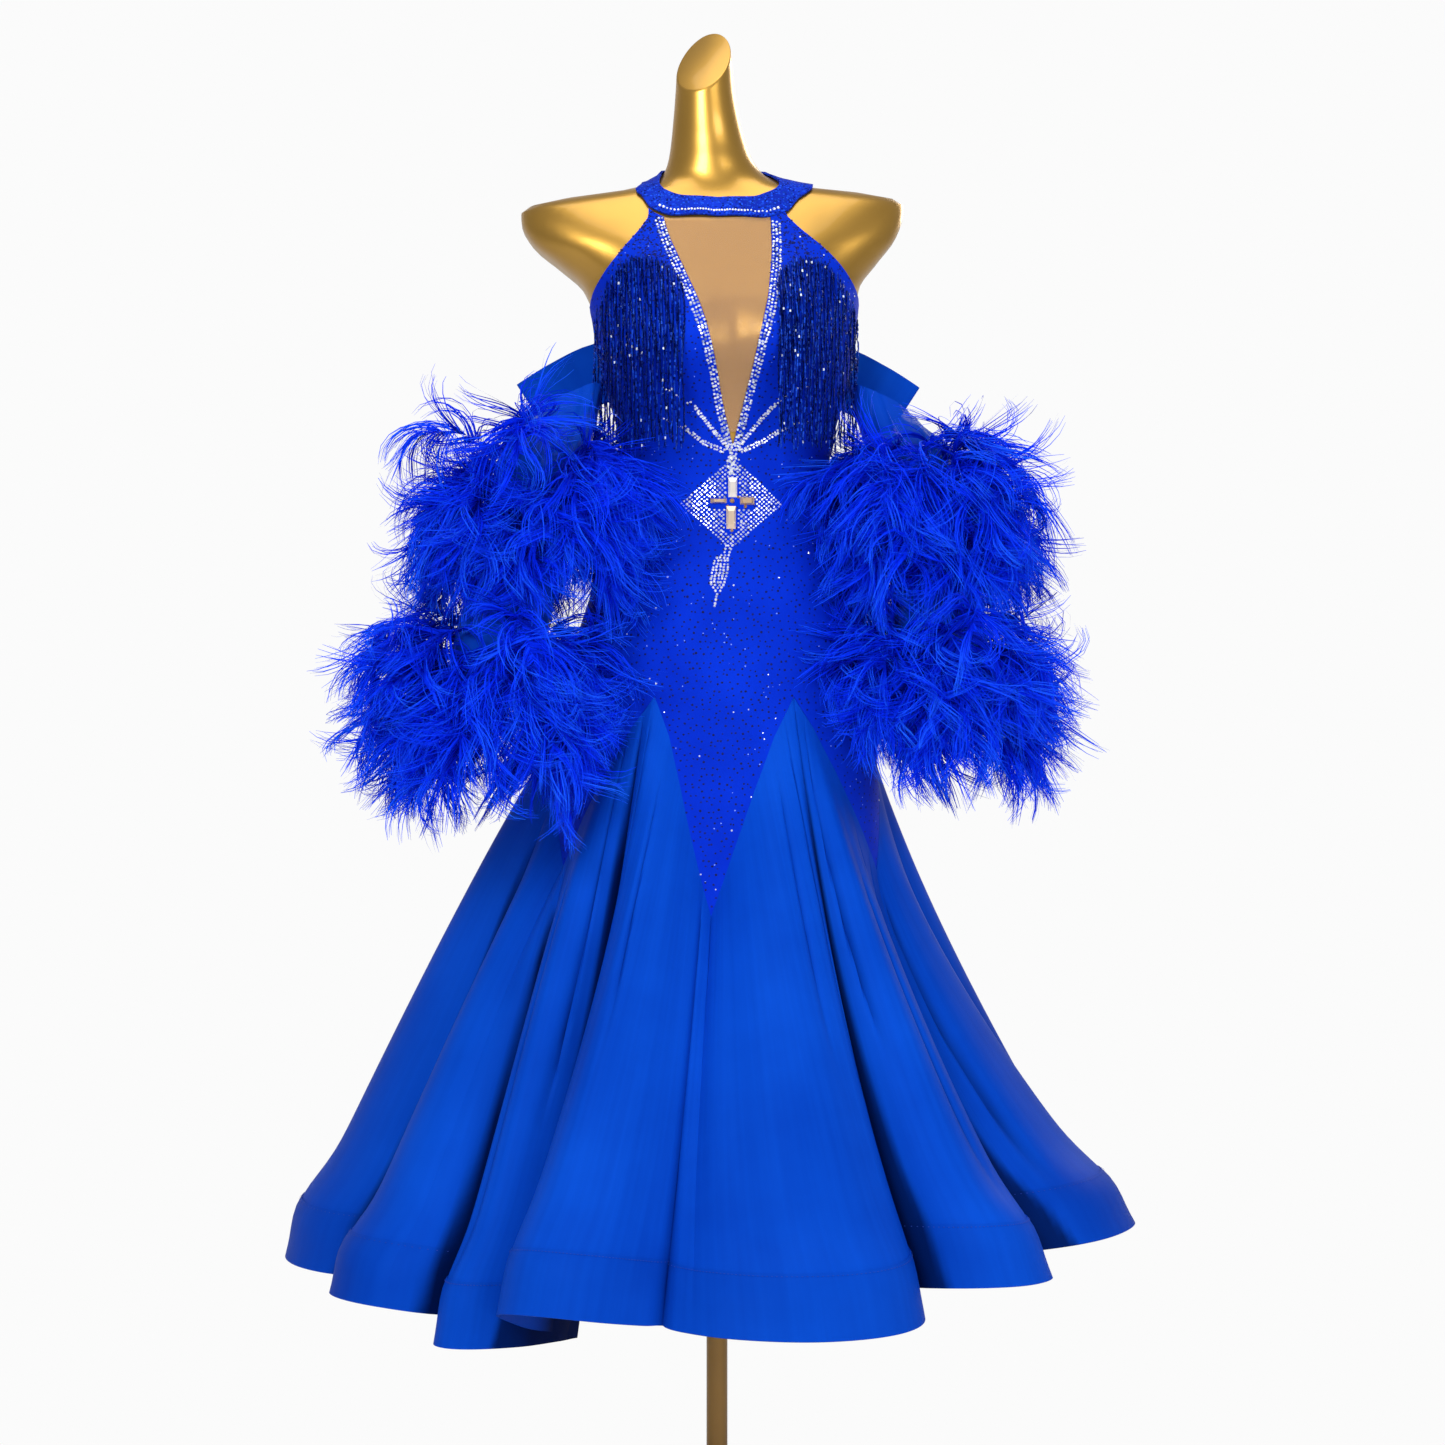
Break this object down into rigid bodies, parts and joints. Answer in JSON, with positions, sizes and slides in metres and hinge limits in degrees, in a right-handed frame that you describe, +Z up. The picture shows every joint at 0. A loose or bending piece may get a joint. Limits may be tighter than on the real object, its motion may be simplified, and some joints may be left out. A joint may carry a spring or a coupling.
{
  "type": "ballroom gown and limbless dress form on a stand",
  "caption": "Ballroom gown with halter bodice, plunge insert, bead fringe, feather sleeves, back bow and flared skirt, on a dress form with pole and round base.",
  "frame": {"origin": "centre of the base plate's underside, on the pole's axis", "axes": "+Z up along the pole, -Y the side that the gown faces, +X to the right of somebody looking at its front"},
  "size_m": [0.8755, 0.8462, 1.6018],
  "materials": {
    "royal_jersey": "royal blue stretch jersey with small stones",
    "satin_skirt": "smooth royal blue satin",
    "nude_mesh": "sheer nude mesh",
    "feather": "dyed royal blue plumes",
    "beads": "dark blue bead strands",
    "crystal": "clear stones, foiled behind",
    "gold_form": "gloss gold",
    "gold_stand": "polished"
  },
  "bodies": {
    "root": {"bodice_front": "royal_jersey", "bodice_back": "royal_jersey", "collar_band": "royal_jersey", "plunge_insert": "nude_mesh", "skirt_front_left": "satin_skirt", "skirt_front_right": "satin_skirt", "skirt_side_left": "satin_skirt", "skirt_side_right": "satin_skirt", "skirt_back": "satin_skirt", "sleeve_left": "satin_skirt", "sleeve_right": "satin_skirt", "bow_loop_left": "satin_skirt", "bow_loop_right": "satin_skirt", "bow_knot": "satin_skirt", "feathers_left_upper": "feather", "feathers_left_lower": "feather", "feathers_right_upper": "feather", "feathers_right_lower": "feather", "fringe_left": "beads", "fringe_right": "beads", "plunge_trim": "crystal", "collar_trim": "crystal", "waist_lozenge": "crystal", "waist_tail": "crystal", "ray_left": "crystal", "ray_right": "crystal", "rays_lower": "crystal", "dress_form": "gold_form", "stand_pole": "gold_stand", "stand_base": "gold_stand"}
  },
  "joints": []
}
